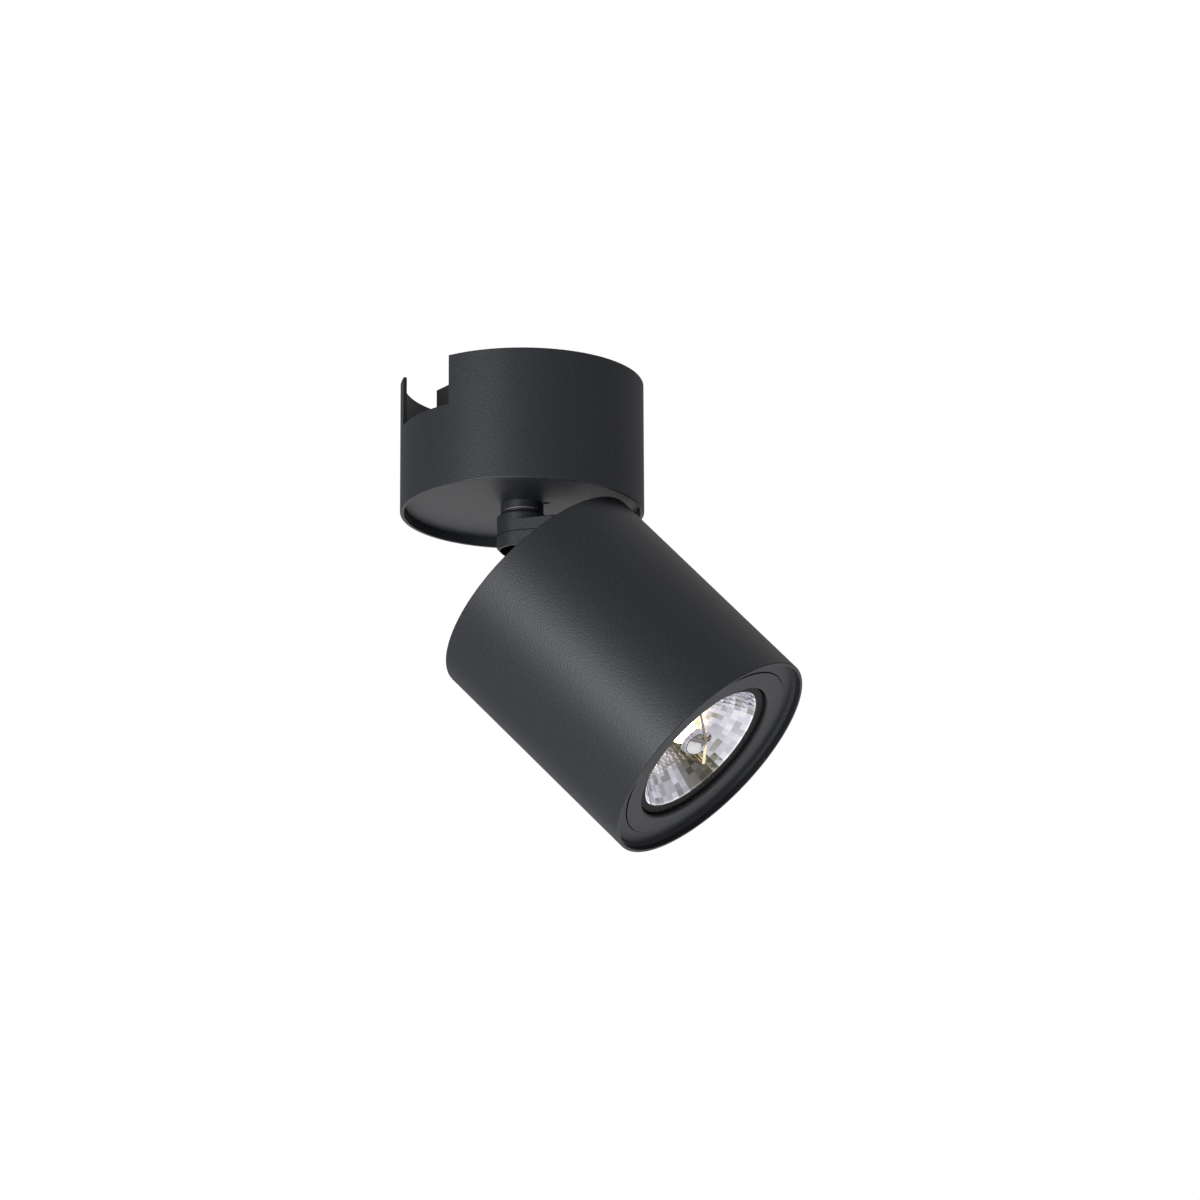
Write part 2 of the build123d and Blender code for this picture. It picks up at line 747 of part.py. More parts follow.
bezel_setback = 3.5
bezel_outer = gap_radius - 0.4
aperture = 37.3
with BuildPart() as retaining_ring:
    with BuildSketch(head_half()):
        outline(
            (aperture, front(bezel_setback + 0.9)), (aperture + 0.25, front(bezel_setback + 0.3)),
            (aperture + 0.9, front(bezel_setback)),
            (bezel_outer, front(bezel_setback)), (bezel_outer, front(5.1)),
            (collar_outer, front(5.1)), (collar_outer, front(lug_back)),
            (collar_outer - 0.8, front(lug_back)), (collar_outer - 0.8, front(5.1)),
            (38.9, front(5.1)), (38.9, front(9.4)), (37.9, front(9.4)),
        )
    revolve(axis=head_axis)
    for start in lug_starts:
        with BuildSketch(head_half(start)):
            band(collar_outer - 0.4, lug_outer, front(lug_back), front(lug_front))
        revolve(axis=head_axis, revolution_arc=lug_arc)
save(retaining_ring, "retaining_ring")

# ==== Lamp ===============================================================================
lip_setback = 5.9
lip_radius = 33.4
holder_radius = 36.5
rim_setback = lip_setback + 1.05
with BuildPart() as lamp_holder:
    with BuildSketch(head_half()):
        outline(
            (lip_radius, front(lip_setback)), (holder_radius, front(lip_setback)),
            (holder_radius, front(12.9)), (40, front(12.9)), (40, front(carrier_front)),
            (35.2, front(carrier_front)), (35.2, front(lip_setback + 1)),
            (lip_radius, front(lip_setback + 1)),
        )
    revolve(axis=head_axis)
save(lamp_holder, "lamp_holder")

bowl_radius = 33.2
bowl_depth = 27.0
neck_radius = 8.0
bowl_wall = 0.9


def bowl_setback(radius):
    """Parabola of the reflector: setback of the bowl at a radius."""
    return rim_setback + bowl_depth * (1 - (radius / bowl_radius) ** 2)


bowl_steps = [neck_radius + (bowl_radius - neck_radius) * k / 5 for k in range(6)]
with BuildPart() as lamp_reflector:
    with BuildSketch(head_half()):
        with BuildLine():
            inner = Spline(*[(r, front(bowl_setback(r))) for r in reversed(bowl_steps)])
            outer = Spline(*[(r + bowl_wall, front(bowl_setback(r) + 0.8)) for r in bowl_steps])
            Line(inner @ 1, outer @ 0)
            Polyline(outer @ 1, (lamp_rim_radius, front(rim_setback + 0.8)),
                     (lamp_rim_radius, front(rim_setback)), inner @ 0)
        make_face()
    revolve(axis=head_axis)
save(lamp_reflector, "lamp_reflector")

neck_setback = bowl_setback(neck_radius) + 0.85
with BuildPart() as lamp_base:
    with BuildSketch(head_half()):
        band(4.9, 9.6, front(38), front(neck_setback))
        band(0, 4.9, front(38), front(neck_setback + 2.6))
        band(0, 7.6, front(51), front(38))
    revolve(axis=head_axis)
save(lamp_base, "lamp_base")

with BuildPart() as base_pins:
    for side in (-1, 1):
        pin_plane = Plane(origin=rear_centre + aim * front(pin_setback) + tilt_line * side * 7.6,
                          z_dir=tilt_line * side)
        with BuildSketch(pin_plane):
            Circle(1.0)
        extrude(amount=2.0)
save(base_pins, "base_pins")

capsule_radius = 4.6
capsule_tip = 15.0
capsule_foot = neck_setback + 2.6
with BuildPart() as lamp_capsule:
    with BuildSketch(head_half()):
        with BuildLine():
            wall_end = (capsule_radius, front(capsule_tip + capsule_radius))
            Polyline((0, front(capsule_tip)), (0, front(capsule_foot)),
                     (capsule_radius, front(capsule_foot)), wall_end)
            RadiusArc(wall_end, (0, front(capsule_tip)), -capsule_radius)
        make_face()
    revolve(axis=head_axis)
save(lamp_capsule, "lamp_capsule")

cap_back, cap_tip, cap_round = 14.0, 5.8, 6.3
with BuildPart() as glare_cap:
    with BuildSketch(head_half()):
        with BuildLine():
            dome_edge = (cap_round, front(cap_tip + cap_round))
            Polyline((0, front(cap_tip)), (0, front(cap_back)), (cap_round, front(cap_back)),
                     dome_edge)
            RadiusArc(dome_edge, (0, front(cap_tip)), -cap_round)
        make_face()
    revolve(axis=head_axis)
save(glare_cap, "glare_cap")

# The cap hangs from a wire that crosses the bowl and has one bend, beside the cap.
wire_radius = 0.4


def in_lamp(sideways, upward, setback):
    """Point in the lamp: along the tilt axis, square to it, and back from the front rim."""
    return rear_centre + tilt_line * sideways + across * upward + aim * front(setback)


with BuildPart() as cap_wire:
    with BuildLine():
        wire = FilletPolyline(in_lamp(-29.8, 9.8, 8.6), in_lamp(1.5, 6.9, 8.6),
                              in_lamp(29.0, -3.6, 11.9), radius=4)
    with BuildSketch(Plane(origin=wire @ 0, z_dir=wire % 0)):
        Circle(wire_radius)
    sweep(path=wire)
save(cap_wire, "cap_wire")
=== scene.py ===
import json
from math import cos, pi, radians, sin

import bmesh
import bpy
from mathutils import Matrix, Vector


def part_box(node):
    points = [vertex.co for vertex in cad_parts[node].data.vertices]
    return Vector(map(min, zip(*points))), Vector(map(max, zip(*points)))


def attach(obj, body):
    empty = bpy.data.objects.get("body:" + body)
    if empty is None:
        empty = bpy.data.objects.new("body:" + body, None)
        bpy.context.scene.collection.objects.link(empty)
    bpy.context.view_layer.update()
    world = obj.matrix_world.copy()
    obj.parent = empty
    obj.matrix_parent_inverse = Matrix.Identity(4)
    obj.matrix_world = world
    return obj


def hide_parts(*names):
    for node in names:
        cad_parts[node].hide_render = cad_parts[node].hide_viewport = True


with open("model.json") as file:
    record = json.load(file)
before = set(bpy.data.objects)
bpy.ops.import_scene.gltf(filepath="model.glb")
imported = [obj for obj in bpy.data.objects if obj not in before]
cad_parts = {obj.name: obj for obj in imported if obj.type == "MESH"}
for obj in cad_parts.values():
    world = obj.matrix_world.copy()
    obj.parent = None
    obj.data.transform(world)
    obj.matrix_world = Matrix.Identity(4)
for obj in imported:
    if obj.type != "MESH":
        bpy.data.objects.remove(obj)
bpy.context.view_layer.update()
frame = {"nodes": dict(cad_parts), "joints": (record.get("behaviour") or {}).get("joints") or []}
nodes = frame["nodes"]
mm = 0.001

# ==== Camera, light and floor ============================================================
# The spotlight hangs from a ceiling track and is seen from below, to one side, through a
# long lens. The room is a white studio with soft boxes and a pale floor well below.
camera_turn = radians(34.417)
camera_rise = radians(16.413)
camera_roll = radians(-0.246)
camera_distance = 2.854
look_right = 0.0353           # the point looked at, from the middle of the canopy's rim
look_down = 0.0969
rim_centre = Vector((0, 0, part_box("canopy_shell")[1].z))
forward = Vector((sin(camera_turn) * cos(camera_rise), cos(camera_turn) * cos(camera_rise),
                  sin(camera_rise)))
level_right = Vector((cos(camera_turn), -sin(camera_turn), 0))
view_right = Matrix.Rotation(-camera_roll, 3, forward) @ level_right
view_up = view_right.cross(forward)
look_at = rim_centre + look_right * view_right - look_down * view_up

lens_length = 189.09          # in millimetres, like the frame's width
frame_width = 36.0
camera = bpy.data.objects.new("camera", bpy.data.cameras.new("camera"))
camera.data.lens = lens_length
camera.data.sensor_width = frame_width
camera.matrix_world = Matrix.Translation(look_at - camera_distance * forward) @ Matrix(
    (view_right, view_up, -forward)).transposed().to_4x4()
bpy.context.scene.collection.objects.link(camera)
bpy.context.scene.camera = camera
bpy.context.scene.view_settings.view_transform = "Standard"


def linear(hex_colour):
    """An sRGB hex colour as linear red, green, blue and alpha."""
    parts = [int(hex_colour[i:i + 2], 16) / 255 for i in (1, 3, 5)]
    return [c / 12.92 if c <= 0.04045 else ((c + 0.055) / 1.055) ** 2.4 for c in parts] + [1.0]


def add(tree, kind, inputs=None, **settings):
    """Adds a node with its settings, and links or fills its inputs."""
    made = tree.nodes.new(kind)
    for name, value in settings.items():
        setattr(made, name, value)
    for name, value in (inputs or {}).items():
        if isinstance(value, bpy.types.NodeSocket):
            tree.links.new(value, made.inputs[name])
        else:
            made.inputs[name].default_value = value
    return made


room_light = 0.28
world = bpy.data.worlds.new("white_studio")
world.use_nodes = True
bpy.context.scene.world = world
room = world.node_tree
room.nodes.clear()
seen = add(room, "ShaderNodeLightPath").outputs["Is Camera Ray"]
level = add(room, "ShaderNodeMapRange", {"Value": seen, "To Min": room_light, "To Max": 1.0}).outputs[0]
wall = add(room, "ShaderNodeBackground", {"Color": linear("#ffffff"), "Strength": level}).outputs[0]
add(room, "ShaderNodeOutputWorld", {"Surface": wall})

away = Vector((-forward.x, -forward.y, 0)).normalized()     # from the spotlight to the camera, level


def soft_box(name, turn, rise, width, height, power, distance=1.6):
    """A soft box that faces the spotlight. Its turn is from the camera's side, to the right."""
    turned = Matrix.Rotation(radians(turn), 3, "Z") @ away
    place = turned * cos(radians(rise)) + Vector((0, 0, sin(radians(rise))))
    light = bpy.data.objects.new(name, bpy.data.lights.new(name, "AREA"))
    light.data.shape = "RECTANGLE"
    light.data.size, light.data.size_y, light.data.energy = width, height, power
    light.matrix_world = (Matrix.Translation(look_at + place * distance)
                          @ (-place).to_track_quat("-Z", "Y").to_matrix().to_4x4())
    light.visible_camera = False
    bpy.context.scene.collection.objects.link(light)


soft_box("key_soft_box", turn=-36, rise=-11, width=0.6, height=0.7, power=19.0)
soft_box("wall_bounce", turn=168, rise=-18, width=2.4, height=0.7, power=3.0)
soft_box("ceiling_bounce", turn=150, rise=62, width=2.0, height=2.0, power=3.0)

# A wide lamp bank under the spotlight lights only the floor, so that the floor lights the rest.
wash_width = 10.0
wash_power = 228.0
wash_drop = 1.3
floor_wash = bpy.data.objects.new("floor_wash", bpy.data.lights.new("floor_wash", "AREA"))
floor_wash.data.size = wash_width
floor_wash.data.energy = wash_power
floor_wash.location = (0, 0, -wash_drop)
floor_wash.visible_camera = False
bpy.context.scene.collection.objects.link(floor_wash)

floor_drop = 2.4
floor_width = 8.0
floor_panels = 8
floor = bpy.data.objects.new("studio_floor", bpy.data.meshes.new("studio_floor"))
slab = bmesh.new()
bmesh.ops.create_grid(slab, x_segments=floor_panels, y_segments=floor_panels, size=floor_width / 2)
bmesh.ops.translate(slab, verts=slab.verts, vec=(0, 0, -floor_drop))
slab.to_mesh(floor.data)
slab.free()
bpy.context.scene.collection.objects.link(floor)


def grained(name, dark, light, grain, roughness, relief=0.0, metallic=0.0, stretch=(1, 1, 1)):
    """A material whose colour, gloss and relief follow a grain of a real size, drawn out where it is
    stretched. Returns the material, its tree and its shader."""
    gloss_spread = 0.05
    fine_grain = 2.0
    material = bpy.data.materials.new(name)
    material.use_nodes = True
    tree = material.node_tree
    tree.nodes.clear()
    where = add(tree, "ShaderNodeTexCoord").outputs["Object"]
    where = add(tree, "ShaderNodeMapping", {"Vector": where, "Scale": stretch}).outputs[0]
    speckle = add(tree, "ShaderNodeTexNoise", {
        "Vector": where, "Scale": 1 / grain, "Detail": fine_grain}).outputs["Fac"]
    tone = add(tree, "ShaderNodeMix", {0: speckle, 6: linear(dark), 7: linear(light)},
               data_type="RGBA").outputs[2]
    gloss = add(tree, "ShaderNodeMapRange", {
        "Value": speckle, "To Min": roughness - gloss_spread,
        "To Max": roughness + gloss_spread}).outputs[0]
    shader = add(tree, "ShaderNodeBsdfPrincipled", {
        "Base Color": tone, "Roughness": gloss, "Metallic": metallic})
    if relief:
        bump = add(tree, "ShaderNodeBump", {"Height": speckle, "Distance": relief, "Strength": 1.0})
        tree.links.new(bump.outputs[0], shader.inputs["Normal"])
    add(tree, "ShaderNodeOutputMaterial", {"Surface": shader.outputs[0]})
    return material, tree, shader


# Matt emulsion paint on a rolled screed: faint broad mottling, no gloss.
emulsion, _, _ = grained("matt_emulsion", "#eeeeee", "#f1f1f1", 90 * mm, 0.8)
floor.data.materials.append(emulsion)

# ==== Canopy =============================================================================
# Aluminium tube with a notch on two sides for the track, a steel ledge ring inside it and a
# recessed base plate under it. Tube and plate are sprayed and stoved with polyester powder.


def coat(material, *names):
    """Gives CAD nodes their material."""
    for name in names:
        for slot in nodes[name].material_slots:
            slot.material = material


# Fine-texture powder coat: an even dark anthracite skin whose 0.4 mm grain is drawn at
# 0.8 mm so that it shows in the highlights.
powder_coat, _, _ = grained("fine_powder_coat", "#131519", "#2f3239", 0.8 * mm, 0.48, 0.13 * mm)
coat(powder_coat, "canopy_shell", "base_plate")

# Bright zinc plate, passivated: a silvery metal with a faint spangle a few millimetres wide.
zinc, _, _ = grained("passivated_zinc", "#a3a7ae", "#c6cad0", 2.5 * mm, 0.3, 0.01 * mm, 1.0)
coat(zinc, "ledge_ring")

# ==== Plate studs and nuts ===============================================================
# Seven M4 weld studs on the base plate, rolled from steel wire, with chamfered hex nuts. Three
# of them hold the plate to the ledge ring, and four hold the bracket of the track adapter.
weld_gap = 0.001 * mm         # corners closer than this are one corner


def plain_mesh(name, holder):
    """The holder's evaluated shape as a plain mesh object at the origin; the holder is removed."""
    bpy.context.view_layer.update()
    evaluated = holder.evaluated_get(bpy.context.evaluated_depsgraph_get())
    mesh = bpy.data.meshes.new_from_object(evaluated)
    bpy.data.objects.remove(holder)
    mesh.name = name
    if None in list(mesh.materials):
        finish = [material for material in mesh.materials if material][0]
        mesh.materials.clear()
        mesh.materials.append(finish)
        for face in mesh.polygons:
            face.material_index = 0
    made = bpy.data.objects.new(name, mesh)
    bpy.context.scene.collection.objects.link(made)
    return made


def node_tree(name, **sizes):
    """An empty geometry tree with a named input for each size. Returns the tree and its inputs."""
    tree = bpy.data.node_groups.new(name, "GeometryNodeTree")
    tree.interface.new_socket("Geometry", in_out="OUTPUT", socket_type="NodeSocketGeometry")
    tree.interface.new_socket("Geometry", in_out="INPUT", socket_type="NodeSocketGeometry")
    for size, value in sizes.items():
        kind = {int: "NodeSocketInt", float: "NodeSocketFloat", tuple: "NodeSocketVector"}[type(value)]
        tree.interface.new_socket(size, in_out="INPUT", socket_type=kind).default_value = value
    return tree, add(tree, "NodeGroupInput").outputs


def grown(name, tree, places=None, **sizes):
    """Runs a geometry tree on the places given and returns its shape as a plain mesh object."""
    mesh = bpy.data.meshes.new(name)
    mesh.from_pydata(places or [(0, 0, 0)], [], [])
    holder = bpy.data.objects.new(name + "_holder", mesh)
    bpy.context.scene.collection.objects.link(holder)
    grow = holder.modifiers.new(name, "NODES")
    grow.node_group = tree
    for item in tree.interface.items_tree:
        if item.in_out == "INPUT" and item.name in sizes:
            grow[item.identifier] = sizes[item.name]
    return plain_mesh(name, holder)


def ends(node, facing):
    """Where each loose solid of a CAD node ends on its own axis, on the side it faces."""
    turn = facing.to_track_quat("Z", "Y")
    welded = bmesh.new()
    welded.from_mesh(nodes[node].data)
    bmesh.ops.remove_doubles(welded, verts=welded.verts, dist=weld_gap)
    left = set(welded.verts)
    found = []
    while left:
        solid = [left.pop()]
        for vert in solid:
            for other in (edge.other_vert(vert) for edge in vert.link_edges):
                if other in left:
                    left.discard(other)
                    solid.append(other)
        spots = [turn.inverted() @ vert.co for vert in solid]
        low = Vector([min(spot[i] for spot in spots) for i in range(3)])
        high = Vector([max(spot[i] for spot in spots) for i in range(3)])
        found.append(turn @ Vector(((low.x + high.x) / 2, (low.y + high.y) / 2, high.z)))
    welded.free()
    return sorted(found, key=tuple)


def on_points(tree, size, shape, material):
    """Sets a shape on every point, turned to face one way, and gives it its material."""
    facing = add(tree, "FunctionNodeAlignRotationToVector", {"Vector": size["facing"]}, axis="Z").outputs[0]
    many = add(tree, "GeometryNodeInstanceOnPoints", {
        "Points": size["Geometry"], "Instance": shape, "Rotation": facing}).outputs[0]
    plain = add(tree, "GeometryNodeRealizeInstances", {"Geometry": many}).outputs[0]
    finished = add(tree, "GeometryNodeSetMaterial", {"Geometry": plain, "Material": material}).outputs[0]
    add(tree, "NodeGroupOutput", {"Geometry": finished})


def rod_tree(name, material):
    """A tree for rods with a rolled thread, each hanging from a point."""
    rod_sides = 20
    rings_a_turn = 5
    thread_depth = 0.6            # a share of the pitch
    tree, size = node_tree(name, facing=(0.0, 0.0, 1.0), radius=2 * mm, length=8 * mm, pitch=0.7 * mm)
    turns = add(tree, "ShaderNodeMath", {0: size["length"], 1: size["pitch"]},
                operation="DIVIDE").outputs[0]
    rings = add(tree, "ShaderNodeMath", {0: turns, 1: rings_a_turn}, operation="MULTIPLY").outputs[0]
    bar = add(tree, "GeometryNodeMeshCylinder", {
        "Vertices": rod_sides, "Side Segments": rings, "Radius": size["radius"],
        "Depth": size["length"]}).outputs["Mesh"]
    spot = add(tree, "GeometryNodeInputPosition").outputs[0]
    at = add(tree, "ShaderNodeSeparateXYZ", {0: spot}).outputs

    # The thread climbs one pitch in a turn, and its flanks run straight from crest to root.
    bearing = add(tree, "ShaderNodeMath", {0: at["Y"], 1: at["X"]}, operation="ARCTAN2").outputs[0]
    climb = add(tree, "ShaderNodeMath", {0: at["Z"], 1: size["pitch"]}, operation="DIVIDE").outputs[0]
    lead = add(tree, "ShaderNodeMath", {0: bearing, 1: 1 / (2 * pi), 2: climb},
               operation="MULTIPLY_ADD").outputs[0]
    part_turn = add(tree, "ShaderNodeMath", {0: lead}, operation="FRACT").outputs[0]
    swing = add(tree, "ShaderNodeMath", {0: part_turn, 1: 2.0, 2: -1.0},
                operation="MULTIPLY_ADD").outputs[0]
    flank = add(tree, "ShaderNodeMath", {0: swing}, operation="ABSOLUTE").outputs[0]
    pitch_share = add(tree, "ShaderNodeMath", {0: size["pitch"], 1: size["radius"]},
                      operation="DIVIDE").outputs[0]
    depth = add(tree, "ShaderNodeMath", {0: pitch_share, 1: thread_depth},
                operation="MULTIPLY").outputs[0]
    cut = add(tree, "ShaderNodeMath", {0: depth, 1: flank}, operation="MULTIPLY").outputs[0]
    left = add(tree, "ShaderNodeMath", {0: cut, 1: -1.0, 2: 1.0}, operation="MULTIPLY_ADD").outputs[0]
    cut_x = add(tree, "ShaderNodeMath", {0: at["X"], 1: left}, operation="MULTIPLY").outputs[0]
    cut_y = add(tree, "ShaderNodeMath", {0: at["Y"], 1: left}, operation="MULTIPLY").outputs[0]
    hung_z = add(tree, "ShaderNodeMath", {0: size["length"], 1: -0.5, 2: at["Z"]},
                 operation="MULTIPLY_ADD").outputs[0]
    threaded = add(tree, "ShaderNodeCombineXYZ", {"X": cut_x, "Y": cut_y, "Z": hung_z}).outputs[0]
    bar = add(tree, "GeometryNodeSetPosition", {"Geometry": bar, "Position": threaded}).outputs[0]
    on_points(tree, size, bar, material)
    return tree


def head_tree(name, material):
    """A tree for nuts and screw heads, each hanging from a point: a bar of so many sides with its
    corners rounded off, a recess of two crossed arms in its end, and a plain shank under it."""
    arm_width = 0.7 * mm
    ball_segments, ball_rings = 40, 24
    shank_sides = 20
    shank_start = -0.98           # just inside the head, as a share of its height
    tree, size = node_tree(name, facing=(0.0, 0.0, 1.0), sides=6, radius=4.04 * mm, height=3.2 * mm,
                           shoulder=0.92, arm=0.0, cross_arm=0.0, recess=0.0, shank=1.0 * mm, reach=0.0)
    bar = add(tree, "GeometryNodeMeshCylinder", {
        "Vertices": size["sides"], "Radius": size["radius"], "Depth": size["height"]}).outputs["Mesh"]

    # The corners are rounded by a ball that passes through the rim of the flat left on the end.
    flat = add(tree, "ShaderNodeMath", {0: size["radius"], 1: size["shoulder"]},
               operation="MULTIPLY").outputs[0]
    half = add(tree, "ShaderNodeMath", {0: size["height"], 1: 0.5}, operation="MULTIPLY").outputs[0]
    flat_square = add(tree, "ShaderNodeMath", {0: flat, 1: 2.0}, operation="POWER").outputs[0]
    half_square = add(tree, "ShaderNodeMath", {0: half, 1: 2.0}, operation="POWER").outputs[0]
    both = add(tree, "ShaderNodeMath", {0: flat_square, 1: half_square}, operation="ADD").outputs[0]
    ball_radius = add(tree, "ShaderNodeMath", {0: both}, operation="SQRT").outputs[0]
    ball = add(tree, "GeometryNodeMeshUVSphere", {
        "Segments": ball_segments, "Rings": ball_rings, "Radius": ball_radius}).outputs["Mesh"]
    rounded = add(tree, "GeometryNodeMeshBoolean", operation="INTERSECT")
    tree.links.new(bar, rounded.inputs["Mesh 2"])
    tree.links.new(ball, rounded.inputs["Mesh 2"])

    top = add(tree, "ShaderNodeCombineXYZ", {"Z": half}).outputs[0]
    twice = add(tree, "ShaderNodeMath", {0: size["recess"], 1: 2.0}, operation="MULTIPLY").outputs[0]
    slots = add(tree, "GeometryNodeMeshBoolean", {"Mesh 1": rounded.outputs["Mesh"]},
                operation="DIFFERENCE")
    for wide, deep in ((size["arm"], arm_width), (arm_width, size["cross_arm"])):
        arm = add(tree, "ShaderNodeCombineXYZ", {"X": wide, "Y": deep, "Z": twice}).outputs[0]
        cutter = add(tree, "GeometryNodeMeshCube", {"Size": arm}).outputs["Mesh"]
        cutter = add(tree, "GeometryNodeTransform", {"Geometry": cutter, "Translation": top}).outputs[0]
        tree.links.new(cutter, slots.inputs["Mesh 2"])
    recessed = add(tree, "ShaderNodeMath", {0: size["recess"], 1: 0.0},
                   operation="GREATER_THAN").outputs[0]
    shape = add(tree, "GeometryNodeSwitch", {
        "Switch": recessed, "False": rounded.outputs["Mesh"], "True": slots.outputs["Mesh"]},
        input_type="GEOMETRY").outputs[0]

    # The head hangs with its end on the point, and the shank hangs from the head.
    half_down = add(tree, "ShaderNodeMath", {0: size["height"], 1: -0.5},
                    operation="MULTIPLY").outputs[0]
    down = add(tree, "ShaderNodeCombineXYZ", {"Z": half_down}).outputs[0]
    shape = add(tree, "GeometryNodeTransform", {"Geometry": shape, "Translation": down}).outputs[0]
    stem = add(tree, "GeometryNodeMeshCylinder", {
        "Vertices": shank_sides, "Radius": size["shank"], "Depth": size["reach"]}).outputs["Mesh"]
    stem_top = add(tree, "ShaderNodeMath", {0: size["height"], 1: shank_start},
                   operation="MULTIPLY").outputs[0]
    stem_middle = add(tree, "ShaderNodeMath", {0: size["reach"], 1: -0.5, 2: stem_top},
                      operation="MULTIPLY_ADD").outputs[0]
    under = add(tree, "ShaderNodeCombineXYZ", {"Z": stem_middle}).outputs[0]
    stem = add(tree, "GeometryNodeTransform", {"Geometry": stem, "Translation": under}).outputs[0]
    whole = add(tree, "GeometryNodeJoinGeometry")
    tree.links.new(shape, whole.inputs[0])
    tree.links.new(stem, whole.inputs[0])
    shanked = add(tree, "ShaderNodeMath", {0: size["reach"], 1: 0.0},
                  operation="GREATER_THAN").outputs[0]
    finished = add(tree, "GeometryNodeSwitch", {
        "Switch": shanked, "False": shape, "True": whole.outputs[0]},
        input_type="GEOMETRY").outputs[0]
    on_points(tree, size, finished, material)
    return tree


def fastened(name, tree, node, facing, slot, body, **sizes):
    """Grows a fastener at each loose solid of a CAD node, in place of the node."""
    made = grown(name, tree, ends(node, Vector(facing)), facing=tuple(facing), **sizes)
    made.data.shade_smooth()
    made.data.set_sharp_from_angle(angle=radians(25))
    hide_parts(node)
    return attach(made, body)


up, down = (0.0, 0.0, 1.0), (0.0, 0.0, -1.0)
zinc_rods = rod_tree("zinc_rod", zinc)
zinc_heads = head_tree("zinc_head", zinc)
fastened("threaded_plate_studs", zinc_rods, "plate_studs", up, "zinc_steel", "canopy")
fastened("chamfered_stud_nuts", zinc_heads, "stud_nuts", up, "zinc_steel", "canopy")

# ==== Track adapter ======================================================================
# Two glass-filled polycarbonate halves on a flanged base, screwed to a zinc-plated bracket.
# It holds the lock lever with its steel cam, and the contact lever with its copper fingers.
#
# Moulded from a spark-eroded tool: black with a fine even grain of 0.3 mm, drawn at 0.6 mm.
moulding, _, _ = grained("spark_eroded_moulding", "#151517", "#242427", 0.6 * mm, 0.46, 0.03 * mm)
coat(moulding, "adapter_base", "adapter_half_left", "adapter_half_right", "lock_lever", "contact_lever")
coat(zinc, "adapter_bracket", "lock_cam")

# Half-hard copper strip, blanked and bent: a warm metal with faint rolling streaks.
copper, _, _ = grained("rolled_copper", "#b4704a", "#d4936a", 1.5 * mm, 0.28, 0.01 * mm, 1.0,
                       stretch=(0.2, 1, 1))
coat(copper, "earth_contacts", "contact_fingers")
fastened("cross_head_adapter_screws", zinc_heads, "adapter_screws", down, "zinc_steel", "canopy",
         sides=32, radius=3.4 * mm, height=2.2 * mm, shoulder=0.8, arm=3.6 * mm, cross_arm=3.6 * mm,
         recess=1.1 * mm, shank=1.65 * mm, reach=7.0 * mm)

# ==== Transformer and wiring =============================================================
# A 12 V electronic transformer in a moulded case with a snap-on lid stands on a silicone pad.
# The terminal block takes the mains leads from the adapter and the feed to the transformer.
#
# Polyamide straight from the mould: warm white, slightly waxy, with a faint sink mottling.
polyamide, _, _ = grained("moulded_polyamide", "#d3d0c6", "#e6e3da", 1.6 * mm, 0.42, 0.02 * mm)
case_low, case_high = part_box("transformer")
lid_share = 0.72              # of the case's height, up to the seam
seam = 0.7 * mm
seam_depth = 0.6 * mm
case_round = 1.6 * mm
case_skin = 3 * mm            # from the core's ends to the outside


def rounded_box(name, boxes, material, rounding):
    """Boxes, each given by two corners, with rounded edges, as one mesh object."""
    most_rounding = 0.4           # a share of the box's least size
    round_steps = 4
    shape = bmesh.new()
    for low, high in boxes:
        cube = bmesh.ops.create_cube(shape, size=1.0)["verts"]
        bmesh.ops.scale(shape, verts=cube, vec=high - low)
        bmesh.ops.translate(shape, verts=cube, vec=(high + low) / 2)
        edges = list({edge for vert in cube for edge in vert.link_edges})
        offset = min(rounding, min(high - low) * most_rounding)
        bmesh.ops.bevel(shape, geom=edges, offset=offset, segments=round_steps, profile=0.5,
                        affect="EDGES")
    mesh = bpy.data.meshes.new(name)
    shape.to_mesh(mesh)
    shape.free()
    mesh.shade_smooth()
    mesh.set_sharp_from_angle(angle=radians(40))
    mesh.materials.append(material)
    made = bpy.data.objects.new(name, mesh)
    bpy.context.scene.collection.objects.link(made)
    return made


split = case_low.z + (case_high.z - case_low.z) * lid_share
inset = Vector((seam_depth, seam_depth, case_skin))
transformer_case = rounded_box("transformer_case", [
    (case_low, Vector((case_high.x, case_high.y, split - seam / 2))),
    (Vector((case_low.x, case_low.y, split + seam / 2)), case_high),
    (case_low + inset, case_high - inset)], polyamide, case_round)
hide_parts("transformer")
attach(transformer_case, "canopy")
coat(polyamide, "terminal_block", "nylon_washer", "thrust_washer", "friction_discs")

# Moulded cooling ribs on the lid, one millimetre wide.
rib_rows = 8
rib_tree, size = node_tree("lid_ribs", facing=(0.0, 0.0, 1.0), ribs=12, pitch=3.4 * mm, length=14 * mm,
                           width=1.0 * mm, rise=0.7 * mm)
rib_size = add(rib_tree, "ShaderNodeCombineXYZ", {
    "X": size["width"], "Y": size["length"], "Z": size["rise"]}).outputs[0]
rib = add(rib_tree, "GeometryNodeMeshCube", {"Size": rib_size, "Vertices Y": rib_rows}).outputs["Mesh"]
gaps = add(rib_tree, "ShaderNodeMath", {0: size["ribs"], 1: 1.0}, operation="SUBTRACT").outputs[0]
half_back = add(rib_tree, "ShaderNodeMath", {0: size["pitch"], 1: -0.5}, operation="MULTIPLY").outputs[0]
first_x = add(rib_tree, "ShaderNodeMath", {0: gaps, 1: half_back}, operation="MULTIPLY").outputs[0]
first = add(rib_tree, "ShaderNodeCombineXYZ", {"X": first_x}).outputs[0]
step = add(rib_tree, "ShaderNodeCombineXYZ", {"X": size["pitch"]}).outputs[0]
